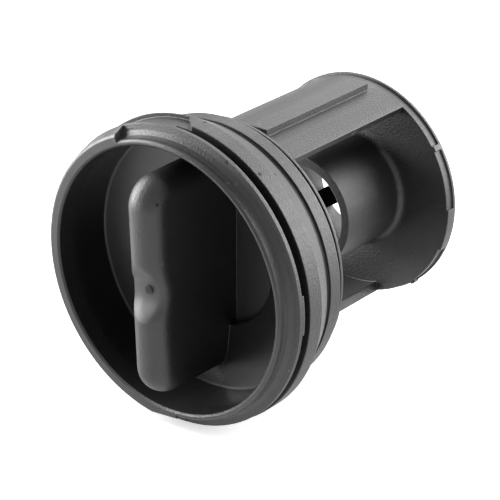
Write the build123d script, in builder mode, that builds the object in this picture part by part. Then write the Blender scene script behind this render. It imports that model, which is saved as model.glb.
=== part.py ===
import os
from math import cos, radians, sin

from build123d import *

# Drain-pump lint filter: a cap with a finger grip and, behind it, an open barrel round an outlet tube.
# It is one moulding of black polypropylene, so it is one solid.
# Frame: +Y runs along the filter's axis towards the pump, +Z is up and the grip stands upright.
# The origin is on the axis, in the middle of the plain ring that seats in the pump housing.
# Angles about the axis are measured from +Z towards +X. Sizes are millimetres and degrees.

# Cap, radii built outwards from the inside of the cup
CUP_RADIUS = 29.0
CUP_DRAFT = 0.25
LIP_WALL = 1.2
RIM_WALL = 2.5
FLANGE_WALL = 3.7
FLANGE_CREST = 0.15
POCKET_WALL = 3.0
SLOT_WALL = 1.6
BAND_WALL = 4.0
SEAT_WALL = 1.0
SEAT_GROOVE_WALL = 0.5
EDGE_CHAMFER = 0.4

# Cap, lengths along the axis from the rim back to the barrel
RIM_LENGTH = 4.4
FLANGE_EDGE = 1.0
LIP_LENGTH = 1.5
FLANGE_SLOT = 1.9
BAND_CREST = 3.7
BAND_RAMP = 4.8
BAND_DROP = 2.4
SEAT_GROOVE = 2.1
SEAT_WIDTH = 3.1
TAIL_GROOVE = 1.6
TAIL_LIP = 0.7

# Cap, places round the axis
LIP_START = -23.0
LIP_END = 174.5
LIP_END_STEP = 0.65
POCKET_SPAN = 75.0
PAD_START = -1.5
PAD_LEAD = 6.5
PAD_ROOT = 1.0
FLASH_START = 81.0
FLASH_SPAN = 15.0
FLASH_WIDTH = 0.55

# Cup floor
CUP_DEPTH = 14.0
DISH_DROP = 2.3
FLOOR_LEDGE = 0.3
WELL_RADIUS = 15.2
WELL_DEPTH = 2.2
FLOOR = 2.5

# Finger grip
GRIP_WIDTH = 8.4
GRIP_END_GAP = 4.25
GRIP_END_DRAFT = 0.45
GRIP_NOSE = 6.8
GRIP_LEAN = 0.95
GRIP_CORNER = 6.5
SADDLE_DEPTH = 2.8
SADDLE_FLAT = 4.0
SADDLE_LENGTH = 12.5
SADDLE_ROUND = 3.0
SADDLE_DROP = 0.7
GATE_RADIUS = 0.95
GATE_HEIGHT = 0.4

# Barrel, its windows and the key rib on the top arm
BARREL_STEP = 4.0
BARREL_WALL = 2.0
BARREL_LENGTH = 42.6
TOP_ARM = 30.0
TOP_ARM_LEFT = 24.0
BOTTOM_ARM = 17.0
RIB_SIDE = 0.1
RIB_WIDTH = 4.9
RIB_HEIGHT = 1.1
RIB_START = 5.0
RIB_END_GAP = 2.6

# End wall, its rim and the outlet tube that comes forward from it
END_WALL = 2.1
REAR_LIP = 0.7
REAR_LIP_WALL = 1.6
REAR_LIP_RISE = 0.4
LUG_START = 88.5
LUG_SPAN = 23.0
LUG_RISE = 0.5
PIP_ANGLE = 56.5
PIP_SPAN = 3.0
NUB_ANGLE = 140.0
NUB_SIZE = 1.4
TUBE_RADIUS = 12.7
TUBE_WALL = 2.0
TUBE_LENGTH = 18.9
TUBE_ROOT = 0.8
BAR_WIDTH = 4.3
BAR_DEPTH = 2.7
BAR_ANGLE = 56.0

# Stations along the axis
seat_front = -SEAT_WIDTH / 2
seat_back = SEAT_WIDTH / 2
band_back = seat_front - SEAT_GROOVE
crest_back = band_back - BAND_RAMP
band_front = crest_back - BAND_CREST
flange_back = band_front - FLANGE_SLOT
flange_front = flange_back - FLANGE_EDGE
rim_front = flange_back - RIM_LENGTH
dish_front = rim_front + CUP_DEPTH
dish_back = dish_front + DISH_DROP
well_floor = dish_back + WELL_DEPTH
cap_back = seat_back + TAIL_GROOVE + TAIL_LIP
wall_front = cap_back + BARREL_LENGTH
wall_back = wall_front + END_WALL
lip_back = wall_back + REAR_LIP
tube_front = wall_front - TUBE_LENGTH

# Radii
lip_radius = CUP_RADIUS + LIP_WALL
rim_radius = CUP_RADIUS + RIM_WALL
flange_radius = CUP_RADIUS + FLANGE_WALL
pocket_radius = CUP_RADIUS + POCKET_WALL
slot_radius = CUP_RADIUS + SLOT_WALL
band_radius = CUP_RADIUS + BAND_WALL
seat_radius = CUP_RADIUS + SEAT_WALL
seat_root = CUP_RADIUS + SEAT_GROOVE_WALL
barrel_radius = CUP_RADIUS - BARREL_STEP
barrel_inside = barrel_radius - BARREL_WALL
bore_radius = TUBE_RADIUS - TUBE_WALL
outside = band_radius + 2


def half_plane(angle):
    """A half-plane through the axis: local x is the radius and local y runs along the axis."""
    turn = radians(angle)
    return Plane(origin=(0, 0, 0), x_dir=(sin(turn), 0, cos(turn)), z_dir=(-cos(turn), 0, sin(turn)))


def cross_plane(y):
    """A plane across the axis at station y: local polar angles are the angles about the axis."""
    return Plane(origin=(0, y, 0), x_dir=(0, 0, 1), z_dir=(0, 1, 0))


# Finger grip: a blade across the cup with rounded ends, a rounded nose and a shallow saddle
grip_floor = well_floor + FLOOR / 10
grip_nose = rim_front - GRIP_NOSE
saddle = grip_nose + SADDLE_DEPTH
grip_end = CUP_RADIUS - GRIP_END_GAP
grip_tip = grip_end - GRIP_END_DRAFT

with BuildPart() as grip:
    with BuildSketch(Plane.YZ) as blade:
        with BuildLine():
            Polyline(
                (grip_floor, grip_end),
                (grip_nose - GRIP_LEAN, grip_tip),
                (grip_nose + GRIP_LEAN, -grip_tip),
                (grip_floor, -grip_end),
                close=True,
            )
        make_face()
        fillet(blade.vertices().sort_by(Axis.X)[:2], radius=GRIP_CORNER)
    extrude(amount=GRIP_WIDTH / 2, both=True)
    base = grip.faces().sort_by(Axis.Y)[-1]
    sides = grip.faces().filter_by(Axis.X)
    outline = [edge for edge in sides.edges() if edge not in base.edges()]
    fillet(outline, radius=0.48 * GRIP_WIDTH)
    with BuildSketch(Plane.YZ) as saddle_cut:
        with BuildLine():
            Polyline(
                (grip_nose, SADDLE_LENGTH / 2 - SADDLE_DROP),
                (saddle, SADDLE_FLAT / 2 - SADDLE_DROP),
                (saddle, -SADDLE_FLAT / 2 - SADDLE_DROP),
                (grip_nose, -SADDLE_LENGTH / 2 - SADDLE_DROP),
                (grip_nose - SADDLE_DEPTH, -SADDLE_LENGTH),
                (grip_nose - SADDLE_DEPTH, SADDLE_LENGTH),
                close=True,
            )
        make_face()
        fillet(saddle_cut.vertices().sort_by(Axis.X)[2:], radius=SADDLE_ROUND)
    extrude(amount=GRIP_WIDTH, both=True, mode=Mode.SUBTRACT)

with BuildPart() as filter_body:
    # Cap: rim, flange, locking band, seat ring and tail, with the cup inside
    with BuildSketch(Plane.XY) as cap_section:
        with BuildLine():
            Polyline(
                (0, well_floor),
                (WELL_RADIUS, well_floor),
                (WELL_RADIUS, dish_back),
                (CUP_RADIUS - CUP_DRAFT - FLOOR_LEDGE, dish_front),
                (CUP_RADIUS - CUP_DRAFT, dish_front),
                (CUP_RADIUS, rim_front),
                (rim_radius, rim_front),
                (flange_radius, flange_front),
                (flange_radius, flange_back),
                (pocket_radius, flange_back),
                (pocket_radius, crest_back),
                (band_radius, crest_back),
                (band_radius - BAND_DROP, band_back),
                (seat_root, band_back),
                (seat_root, seat_front),
                (seat_radius, seat_front),
                (seat_radius, seat_back),
                (CUP_RADIUS - SEAT_GROOVE_WALL, seat_back),
                (CUP_RADIUS - SEAT_GROOVE_WALL, seat_back + TAIL_GROOVE),
                (CUP_RADIUS, seat_back + TAIL_GROOVE),
                (CUP_RADIUS, cap_back),
                (barrel_inside, cap_back),
                (barrel_inside, dish_back + FLOOR),
                (WELL_RADIUS + FLOOR, dish_back + FLOOR),
                (WELL_RADIUS + FLOOR, well_floor + FLOOR),
                (0, well_floor + FLOOR),
                close=True,
            )
        make_face()
        chamfer(cap_section.vertices().group_by(Axis.Y)[0], length=EDGE_CHAMFER)
    revolve(axis=Axis.Y)

    # Barrel wall and end wall, with a low lip round the rear
    with BuildSketch(Plane.XY):
        with BuildLine():
            Polyline(
                (barrel_inside, cap_back),
                (barrel_radius, cap_back),
                (barrel_radius, wall_back),
                (barrel_radius + REAR_LIP_RISE, wall_back),
                (barrel_radius + REAR_LIP_RISE, lip_back),
                (barrel_radius - REAR_LIP_WALL, lip_back),
                (barrel_radius - REAR_LIP_WALL, wall_back),
                (bore_radius, wall_back),
                (bore_radius, wall_front),
                (barrel_inside, wall_front),
                close=True,
            )
        make_face()
    revolve(axis=Axis.Y)

    # Windows on both sides leave a wide arm on top and a narrow arm below
    right_window = (TOP_ARM, 180 - BOTTOM_ARM)
    left_window = (180 + BOTTOM_ARM, 360 - TOP_ARM_LEFT)
    for window_start, window_end in (right_window, left_window):
        with BuildSketch(half_plane(window_start)):
            with BuildLine():
                Polyline(
                    (barrel_inside - BARREL_WALL, cap_back),
                    (outside, cap_back),
                    (outside, wall_front),
                    (barrel_inside - BARREL_WALL, wall_front),
                    close=True,
                )
            make_face()
        revolve(axis=Axis.Y, revolution_arc=window_end - window_start, mode=Mode.SUBTRACT)

    # Outlet tube, chamfered into the end wall
    with BuildSketch(Plane.XY):
        with BuildLine():
            Polyline(
                (bore_radius, tube_front),
                (TUBE_RADIUS, tube_front),
                (TUBE_RADIUS, wall_front - TUBE_ROOT),
                (TUBE_RADIUS + TUBE_ROOT, wall_front),
                (TUBE_RADIUS + TUBE_ROOT, wall_back),
                (bore_radius, wall_back),
                close=True,
            )
        make_face()
    revolve(axis=Axis.Y)

    # Cross bar in the rear end of the bore
    with BuildSketch(cross_plane(wall_back - BAR_DEPTH)):
        Rectangle(2 * bore_radius, BAR_WIDTH, rotation=BAR_ANGLE)
    extrude(amount=BAR_DEPTH)

    # Key rib along the top arm
    with BuildSketch(cross_plane(cap_back + RIB_START)):
        with Locations((barrel_radius + RIB_HEIGHT, RIB_SIDE)):
            Rectangle(RIB_HEIGHT + BARREL_WALL, RIB_WIDTH, align=(Align.MAX, Align.MIN))
    extrude(amount=BARREL_LENGTH - RIB_START - RIB_END_GAP)

    # The right side of the rim is thinned to a lip, with a cove behind it up to the flange's crest.
    # At its lower end a small step and a straight run-out bring it back to the full rim.
    cove_front = rim_front + LIP_LENGTH
    cove_depth = flange_radius - FLANGE_CREST - lip_radius
    cove = [
        (
            lip_radius + cove_depth * (1 - cos(radians(turn))),
            cove_front + (flange_front - cove_front) * sin(radians(turn)),
        )
        for turn in (0, 30, 60, 90)
    ]
    lip_cut = [
        (lip_radius - 2 * EDGE_CHAMFER, rim_front - EDGE_CHAMFER),
        (lip_radius, rim_front + EDGE_CHAMFER),
        *cove,
        (outside, flange_front),
        (outside, rim_front - EDGE_CHAMFER),
    ]
    with BuildSketch(half_plane(LIP_START)):
        with BuildLine():
            Polyline(*lip_cut, close=True)
        make_face()
    revolve(axis=Axis.Y, revolution_arc=LIP_END - LIP_START, mode=Mode.SUBTRACT)
    run_out_cut = [(radius + LIP_END_STEP, station) for radius, station in lip_cut]
    with BuildSketch(half_plane(LIP_END)):
        with BuildLine():
            Polyline(*run_out_cut, close=True)
        make_face()
    extrude(amount=-CUP_RADIUS / 2, mode=Mode.SUBTRACT)

    # A raised pad widens the locking band forwards, all round but for a pocket on the upper left
    with BuildSketch(half_plane(PAD_START)):
        with BuildLine():
            Polyline(
                (pocket_radius - PAD_ROOT, band_front),
                (band_radius, band_front),
                (band_radius, crest_back),
                (pocket_radius - PAD_ROOT, crest_back + PAD_ROOT),
                close=True,
            )
        make_face()
    revolve(axis=Axis.Y, revolution_arc=360 - POCKET_SPAN)

    # A narrow slot parts the pad from the flange
    with BuildSketch(half_plane(PAD_START)):
        with BuildLine():
            Polyline(
                (slot_radius, flange_back),
                (outside, flange_back),
                (outside, band_front),
                (slot_radius, band_front),
                close=True,
            )
        make_face()
    revolve(axis=Axis.Y, revolution_arc=360 - POCKET_SPAN, mode=Mode.SUBTRACT)

    # The pad's end slants, as a lead-in for the housing's lug
    lead = radians(PAD_LEAD)
    lead_plane = Plane.XY.rotated((0, PAD_START + PAD_LEAD / 2, 0))
    with BuildSketch(lead_plane.offset(pocket_radius * cos(0.6 * lead))):
        with BuildLine():
            Polyline(
                (-pocket_radius * sin(0.7 * lead), crest_back),
                (-pocket_radius * sin(0.5 * lead), crest_back),
                (band_radius * sin(0.5 * lead), band_front),
                (-pocket_radius * sin(0.7 * lead), band_front),
                close=True,
            )
        make_face()
    extrude(amount=BAND_WALL, mode=Mode.SUBTRACT)

    # Moulding flash left on the back edge of the flange
    with BuildSketch(half_plane(FLASH_START)):
        with BuildLine():
            Polyline(
                (pocket_radius, flange_back),
                (flange_radius, flange_back),
                (flange_radius, flange_back + FLASH_WIDTH),
                (pocket_radius, flange_back + FLASH_WIDTH / 2),
                close=True,
            )
        make_face()
    revolve(axis=Axis.Y, revolution_arc=FLASH_SPAN)

    # Rear rim: a long low lug, a pip and a small nub
    for lug_start, lug_span in ((LUG_START, LUG_SPAN), (PIP_ANGLE - PIP_SPAN / 2, PIP_SPAN)):
        with BuildSketch(half_plane(lug_start)):
            with BuildLine():
                Polyline(
                    (barrel_inside, wall_front),
                    (barrel_radius + LUG_RISE, wall_front),
                    (barrel_radius + LUG_RISE, wall_back),
                    (barrel_inside, wall_back),
                    close=True,
                )
            make_face()
        revolve(axis=Axis.Y, revolution_arc=lug_span)
    with BuildSketch(cross_plane(wall_back - NUB_SIZE)):
        with PolarLocations(barrel_radius, 1, start_angle=NUB_ANGLE):
            Rectangle(NUB_SIZE, NUB_SIZE)
    extrude(amount=NUB_SIZE)

    # The grip stands on the cup floor, with the injection gate's mark in its saddle
    add(grip.part)
    with BuildSketch(cross_plane(saddle - GATE_HEIGHT)):
        RegularPolygon(GATE_RADIUS, 9)
    extrude(amount=GATE_HEIGHT + 1)

filter_body.part.label = "filter_body"
print("solids", len(filter_body.part.solids()), "volume", round(filter_body.part.volume))
print("box", filter_body.part.bounding_box())

os.makedirs("parts", exist_ok=True)
export_step(filter_body.part, "parts/filter_body.step")
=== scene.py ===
# %% [markdown]
# # A lint filter for a washing machine's drain pump
# The filter is one moulding of black polypropylene: a cap with a finger grip, and behind it an open barrel
# round an outlet tube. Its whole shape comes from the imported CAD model, so this lesson is about the finish,
# the studio and the camera. We work in metres, in the CAD model's own frame: +Y runs along the filter's axis
# towards the pump and +Z is up.

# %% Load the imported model
import math

import bpy
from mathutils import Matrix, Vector


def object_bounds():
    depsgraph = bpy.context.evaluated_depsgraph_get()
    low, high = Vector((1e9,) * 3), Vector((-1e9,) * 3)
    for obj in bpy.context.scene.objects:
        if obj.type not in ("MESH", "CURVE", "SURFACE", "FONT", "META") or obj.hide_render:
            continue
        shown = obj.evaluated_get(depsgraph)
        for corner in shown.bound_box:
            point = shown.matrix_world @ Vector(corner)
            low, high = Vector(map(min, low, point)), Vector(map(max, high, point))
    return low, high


MM = 0.001
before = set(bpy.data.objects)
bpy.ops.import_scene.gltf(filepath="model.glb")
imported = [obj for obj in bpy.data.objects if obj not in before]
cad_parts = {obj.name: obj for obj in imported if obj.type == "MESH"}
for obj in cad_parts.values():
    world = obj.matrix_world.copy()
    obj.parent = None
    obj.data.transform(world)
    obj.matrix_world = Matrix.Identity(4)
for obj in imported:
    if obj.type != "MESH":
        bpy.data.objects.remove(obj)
cad_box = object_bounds()
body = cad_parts["filter_body"]
print("filter body has", len(body.data.polygons), "faces")
print("its box is", [tuple(round(c, 4) for c in corner) for corner in cad_box])

# %% [markdown]
# ## Colour and nodes
# Colours are written as sRGB hex values, the way a colour picker shows them, and Blender's sockets want
# linear light. One function converts them. A second small function adds a node, fills its settings and joins
# its inputs, which keeps each material readable as a list of what it is made of. Four more give the nodes
# that come up most: a sum, a stretched range, a mix of two colours and a noise.


# %% Helpers for colours and nodes
def linear(hex_value):
    """Turns an sRGB hex value into the linear colour that the sockets take."""
    channels = [int(hex_value[i : i + 2], 16) / 255 for i in (1, 3, 5)]
    return [c / 12.92 if c <= 0.04045 else ((c + 0.055) / 1.055) ** 2.4 for c in channels] + [1.0]


def node(tree, kind, inputs=(), **settings):
    """Adds a node. Each input is a socket name or number with a plain value or an output to join."""
    made = tree.nodes.new(kind)
    for name, value in settings.items():
        setattr(made, name, value)
    for socket, value in dict(inputs).items():
        if isinstance(value, bpy.types.NodeSocket):
            tree.links.new(value, made.inputs[socket])
        else:
            made.inputs[socket].default_value = value
    return made


def calc(tree, operation, *values):
    """One sum on plain values and outputs, in the order of the node's sockets."""
    return node(tree, "ShaderNodeMath", dict(enumerate(values)), operation=operation).outputs[0]


def stretch(tree, value, before, after):
    """Maps one range of values onto another, and holds at its ends."""
    ends = {"From Min": before[0], "From Max": before[1], "To Min": after[0], "To Max": after[1]}
    return node(tree, "ShaderNodeMapRange", {"Value": value} | ends).outputs["Result"]


def blend(tree, share, first, second):
    """Mixes two colours by a mask."""
    return node(tree, "ShaderNodeMix", {0: share, 6: first, 7: second}, data_type="RGBA").outputs[2]


def noise(tree, place, size, detail):
    """A noise from 0 to 1 whose blotches are about one size across."""
    inputs = {"Vector": place, "Scale": 1 / size, "Detail": detail}
    return node(tree, "ShaderNodeTexNoise", inputs).outputs["Fac"]


print("middle grey is", [round(c, 3) for c in linear("#808080")], "in linear light")

# %% [markdown]
# ## Black polypropylene, injection moulded
# The mould's steel was spark-eroded, so the plastic comes out satin rather than glossy: light that grazes it
# spreads into broad grey sheens, while the faces turned to the camera stay nearly black. A principled shader
# with the plastic's index of refraction and a middle roughness gives that. The moulding was drawn off the
# steel along its axis, which leaves faint streaks that way, so one noise is stretched along Y. Its edges
# carry a painted highlight, a little lighter in colour, for the thin light lines that edges catch: ambient
# occlusion, measured inwards, finds them, because near an edge little plastic lies behind the surface.

# %% Plain surface: grain, draw streaks and painted edge highlights
GRAIN_SIZE = 0.4 * MM
FLOW_SIZE = 14 * MM
STREAK_WIDTH = 0.9 * MM
STREAK_LENGTH = 45 * MM
EDGE_REACH = 0.4 * MM

plastic = bpy.data.materials.new("black_polypropylene_moulded")
plastic.use_nodes = True
tree = plastic.node_tree
tree.nodes.clear()
place = node(tree, "ShaderNodeTexCoord").outputs["Object"]
grain = noise(tree, place, GRAIN_SIZE, 2.0)
flow = noise(tree, place, FLOW_SIZE, 3.0)
finer = (1 / STREAK_WIDTH, 1 / STREAK_LENGTH, 1 / STREAK_WIDTH)
drawn = node(tree, "ShaderNodeVectorMath", {0: place, 1: finer}, operation="MULTIPLY").outputs["Vector"]
streak = noise(tree, drawn, 1.0, 2.0)
inwards = {"inside": True, "only_local": True, "samples": 8}
behind = node(tree, "ShaderNodeAmbientOcclusion", {"Distance": EDGE_REACH}, **inwards).outputs["AO"]
# Painted highlight: near the edges the colour is lightened towards #3e3e3f.
painted_edge_highlight = stretch(tree, behind, (0.35, 0.85), (0.8, 0.0))
cloudy = stretch(tree, flow, (0.35, 0.65), (0, 1))
colour = blend(tree, cloudy, linear("#141415"), linear("#1a1a1b"))
colour = blend(tree, painted_edge_highlight, colour, linear("#3e3e3f"))
roughness = stretch(tree, streak, (0.3, 0.7), (0.43, 0.49))
print("plain surface has", len(tree.nodes), "nodes")

# %% [markdown]
# ### Masks by place
# Some marks sit at one place only. Each gets a mask: a ball round a point of the part, in millimetres, that
# is 1 in its middle and fades to 0. For things that run round the axis, the same ball is measured in the
# part's section, where X is the distance from the axis and Y runs along it, and so becomes a ring.


# %% Balls and rings
def spot(tree, place, middle, radius, core=0.5):
    """A mask of a ball round a point, in millimetres, that fades out from its core's share of the radius."""
    gap = node(tree, "ShaderNodeVectorMath", {0: place, 1: Vector(middle) * MM}, operation="DISTANCE")
    return stretch(tree, gap.outputs["Value"], (core * radius * MM, radius * MM), (1, 0))


axes = node(tree, "ShaderNodeSeparateXYZ", {0: place}).outputs
flat = node(tree, "ShaderNodeVectorMath", {0: place, 1: (1, 0, 1)}, operation="MULTIPLY").outputs["Vector"]
from_axis = node(tree, "ShaderNodeVectorMath", {0: flat}, operation="LENGTH").outputs["Value"]
section = node(tree, "ShaderNodeCombineXYZ", {"X": from_axis, "Y": axes["Y"]}).outputs["Vector"]
print("places and their section make", len(tree.nodes), "nodes")

# %% [markdown]
# ### Marks of making and use, and painted highlights
# The filter has pale specks on the rim and the barrel, dark pits, and the torn sprue in the saddle of the
# grip, where the plastic was let into the mould. The pale specks change the colour. Two pale places are
# painted
# highlights instead: the step where the rim's lip starts, and a thin ring round the ledge of the cup's floor.
# The pits also scatter what light they get, so they are rough.

# %% Specks, pits and the torn sprue
PALE = linear("#4e4e4d")
DARK = linear("#060606")
PIT_ROUGHNESS = 0.45
LEDGE_HIGHLIGHT = (28.6, -4.45, 0)
LEDGE_HIGHLIGHT_WIDTH = 0.45
pale_specks_and_painted_highlight = {
    "first speck on the lip": ((16.0, -16.8, 25.7), 0.35),
    "second speck on the lip": ((17.2, -15.8, 25.5), 0.3),
    "speck on top of the rim": ((-10.0, -18.3, 27.5), 0.3),
    "speck low on the rim": ((30.1, -15.1, -11.5), 0.3),
    "speck on the grip": ((4.0, -22.7, 6.9), 0.3),
    "specks on the key rib": ((1.8, 10.4, 26.1), 0.4),
    "dot on the arm": ((4.9, 46.1, 24.5), 0.3),
    "pale patch under the arm": ((11.9, 29.8, 20.6), 0.8),
    # Painted highlight: the step where the rim's lip starts is lightened in the colour.
    "painted highlight on the step where the lip starts": ((-12.1, -16.5, 28.5), 2.4),
}
pits = {
    "torn sprue": ((0, -22.9, 0), 1.3),
    "pit in the flange": ((14.3, -15.1, 29.1), 0.5),
    "pit in the grip": ((3.5, -23.6, 19.9), 0.5),
    "first pit in the band": ((3.4, -8.7, 32.8), 0.5),
    "second pit in the band": ((19.4, -11.2, 26.7), 0.5),
    "third pit in the band": ((19.9, -7.0, 25.4), 0.5),
}
# Painted highlight: a thin pale ring round the ledge of the cup's floor.
colour = blend(tree, spot(tree, section, LEDGE_HIGHLIGHT, LEDGE_HIGHLIGHT_WIDTH), colour, PALE)
# Pale specks, and the painted highlight on the step of the lip.
for middle, radius in pale_specks_and_painted_highlight.values():
    colour = blend(tree, spot(tree, place, middle, radius), colour, PALE)
for middle, radius in pits.values():
    pit = spot(tree, place, middle, radius)
    colour = blend(tree, pit, colour, DARK)
    roughness = calc(tree, "MULTIPLY_ADD", pit, PIT_ROUGHNESS, roughness)
print(len(pale_specks_and_painted_highlight), "pale marks and", len(pits), "pits")

# %% [markdown]
# ### The polished cup
# The mould's core, which made the inside of the cup, was polished smoother than the rest, so there the
# roughness drops and the grain fades. The mask takes what lies within the cup's wall and before its floor,
# and leaves out the grip, which stays satin.

# %% Cup finish
CUP_WALL = 28.9 * MM
CUP_BACK = 0.0
GRIP_SIDE = 4.2 * MM
CUP_ROUGHNESS = -0.14
within = calc(tree, "LESS_THAN", from_axis, CUP_WALL)
before = calc(tree, "LESS_THAN", axes["Y"], CUP_BACK)
beside = calc(tree, "GREATER_THAN", calc(tree, "ABSOLUTE", axes["X"]), GRIP_SIDE)
cup = calc(tree, "MULTIPLY", calc(tree, "MULTIPLY", within, before), beside)
roughness = calc(tree, "MULTIPLY_ADD", cup, CUP_ROUGHNESS, roughness)
print("cup is polished out to", CUP_WALL / MM, "mm")

# %% [markdown]
# ### Relief
# Moulded edges are never quite sharp, so a bevel in the shading rounds them all by 0.3 mm. The saddle of the
# grip and the root of the outlet tube run softly into their surroundings, and there the bevel is wide. The
# grain is a bump on top of that, and it is faint in the polished cup and the saddle.

# %% Relief and shader
EDGE_BEVEL = 0.3 * MM
SADDLE = (0, -24, 0)
SADDLE_BEVEL = 4.0 * MM
TUBE_ROOT = (13.1, 46.05, 0)
TUBE_ROOT_BEVEL = 1.8 * MM
GRAIN_DEPTH = 0.1 * MM
GRAIN_LEFT = 0.15

saddle = spot(tree, place, SADDLE, 9.0, core=0.6)
tube_root = spot(tree, section, TUBE_ROOT, 2.5)
normal = node(tree, "ShaderNodeBevel", {"Radius": EDGE_BEVEL}, samples=8).outputs["Normal"]
for share, reach in ((tube_root, TUBE_ROOT_BEVEL), (saddle, SADDLE_BEVEL)):
    wide = node(tree, "ShaderNodeBevel", {"Radius": reach}, samples=10).outputs["Normal"]
    normal = node(tree, "ShaderNodeMix", {0: share, 4: normal, 5: wide}, data_type="VECTOR").outputs[1]
texture = stretch(tree, calc(tree, "MAXIMUM", cup, saddle), (0, 1), (1.0, GRAIN_LEFT))
bumps = {"Height": grain, "Strength": texture, "Distance": GRAIN_DEPTH, "Normal": normal}
relief = node(tree, "ShaderNodeBump", bumps).outputs["Normal"]
finish = {"Base Color": colour, "Roughness": roughness, "Normal": relief}
shader = node(tree, "ShaderNodeBsdfPrincipled", finish | {"IOR": 1.49, "Specular IOR Level": 0.6})
node(tree, "ShaderNodeOutputMaterial", {"Surface": shader.outputs["BSDF"]})
body.data.materials.clear()
body.data.materials.append(plastic)
print("body carries", [m.name for m in body.data.materials], "with", len(tree.nodes), "nodes")

# %% [markdown]
# ## Floor
# The photograph's ground is plain white, without a shadow. The floor is a matt white sheet just under the
# lowest point of the filter. It keeps the shadow, and a little light of its own lifts it to white. Only the
# rays that look at the ground get that light, from the camera or by way of a reflection, so it doesn't light
# the filter from below.


# %% White studio floor
def looking(tree):
    """1 for the rays that look at the background: direct, in a reflection or through something clear."""
    rays = node(tree, "ShaderNodeLightPath").outputs
    either = calc(tree, "MAXIMUM", rays["Is Camera Ray"], rays["Is Glossy Ray"])
    return calc(tree, "MAXIMUM", either, rays["Is Transmission Ray"])


WHITE = linear("#ffffff")
FLOOR_RADIUS = 3.0
FLOOR_GAP = 0.2 * MM
FLOOR_GLOW = 0.55
low, high = cad_box
under = (0, 0, low[2] - FLOOR_GAP)
bpy.ops.mesh.primitive_circle_add(vertices=64, radius=FLOOR_RADIUS, fill_type="NGON", location=under)
floor = bpy.context.object
floor.name = "studio_floor"
sheet = bpy.data.materials.new("white_studio_sheet")
sheet.use_nodes = True
tree = sheet.node_tree
tree.nodes.clear()
lift = stretch(tree, looking(tree), (0, 1), (0.0, FLOOR_GLOW))
matt = node(tree, "ShaderNodeBsdfDiffuse", {"Color": linear("#f4f4f4")})
glow = node(tree, "ShaderNodeEmission", {"Color": WHITE, "Strength": lift})
both = node(tree, "ShaderNodeAddShader", {0: matt.outputs["BSDF"], 1: glow.outputs["Emission"]})
node(tree, "ShaderNodeOutputMaterial", {"Surface": both.outputs["Shader"]})
floor.data.materials.append(sheet)
print("floor at", round(floor.location.z, 4), "m")

# %% [markdown]
# ## World
# Beyond the floor the picture has to be white as well, so the world is white where it is looked at. As a
# light it is faint: black plastic under an even white sky would turn grey all over.

# %% White world, faint as a light
AIR_LIGHT = 0.1
world = bpy.data.worlds.new("studio")
bpy.context.scene.world = world
world.use_nodes = True
tree = world.node_tree
tree.nodes.clear()
strength = stretch(tree, looking(tree), (0, 1), (AIR_LIGHT, 1.0))
air = node(tree, "ShaderNodeBackground", {"Color": WHITE, "Strength": strength})
node(tree, "ShaderNodeOutputWorld", {"Surface": air.outputs["Background"]})
print("world", world.name, "lights the filter at", AIR_LIGHT)

# %% [markdown]
# ## Light
# Black plastic is lit by what it mirrors. The sheen on the bands, the outlet tube and the arms comes from a
# large soft light low behind the filter on the right, and the top of the barrel takes a second one from
# behind on the left. Two softboxes on the left, one low and one higher, draw the rim and the nose of the
# grip. The side towards the camera has no lamp, so the cup stays dark.

# %% Softboxes
MIDDLE = Vector((0, 12, 0)) * MM
LAMP_DISTANCE = 0.8


def softbox(name, around, above, size, power):
    """An area light that looks at the filter. Its angles run from +Y towards +X, and up from level."""
    lamp = bpy.data.lights.new(name, "AREA")
    lamp.shape = "RECTANGLE"
    lamp.size, lamp.size_y = size
    lamp.energy = power
    holder = bpy.data.objects.new(name, lamp)
    turn, rise = math.radians(around), math.radians(above)
    away = Vector((math.sin(turn) * math.cos(rise), math.cos(turn) * math.cos(rise), math.sin(rise)))
    holder.location = MIDDLE + away * LAMP_DISTANCE
    holder.rotation_euler = away.to_track_quat("Z", "Y").to_euler()
    bpy.context.scene.collection.objects.link(holder)
    return holder


lamps = [
    softbox("rear_right", 32, 15, (0.8, 0.8), 14.5),
    softbox("rear_left", -15, 35, (0.7, 0.5), 3.8),
    softbox("left_low", 242, 4, (0.5, 0.4), 10.5),
    softbox("left_high", 258, 28, (0.5, 0.5), 10.0),
]
print("lamps", [lamp.name for lamp in lamps])

# %% [markdown]
# ## Camera
# The camera was fitted to the rim's ellipse and the edges of the bands: it stands to the right of the axis
# and above it, close enough for the barrel to look shorter than it is. The photograph is square, so the lens
# is worked out for a 36 mm wide sensor.

# %% Camera at the photograph's angle
AZIMUTH = 39.10
ELEVATION = 24.91
DISTANCE = 426.9 * MM
TARGET = Vector((22.84, -18.45, 13.99)) * MM
FOCAL_PIXELS = 2200
PICTURE_PIXELS = 500
SENSOR_WIDTH = 36

lens = bpy.data.cameras.new("photo_camera")
lens.sensor_width = SENSOR_WIDTH
lens.lens = SENSOR_WIDTH * FOCAL_PIXELS / PICTURE_PIXELS
lens.clip_start = 0.01
camera = bpy.data.objects.new("photo_camera", lens)
turn = math.radians(AZIMUTH)
rise = math.radians(ELEVATION)
back = Vector((math.sin(turn) * math.cos(rise), -math.cos(turn) * math.cos(rise), math.sin(rise)))
camera.location = TARGET + back * DISTANCE
camera.rotation_euler = back.to_track_quat("Z", "Y").to_euler()
bpy.context.scene.collection.objects.link(camera)
bpy.context.scene.camera = camera
bpy.context.scene.view_settings.view_transform = "Standard"
print("camera at", [round(c, 4) for c in camera.location], "lens", round(lens.lens, 1), "mm")
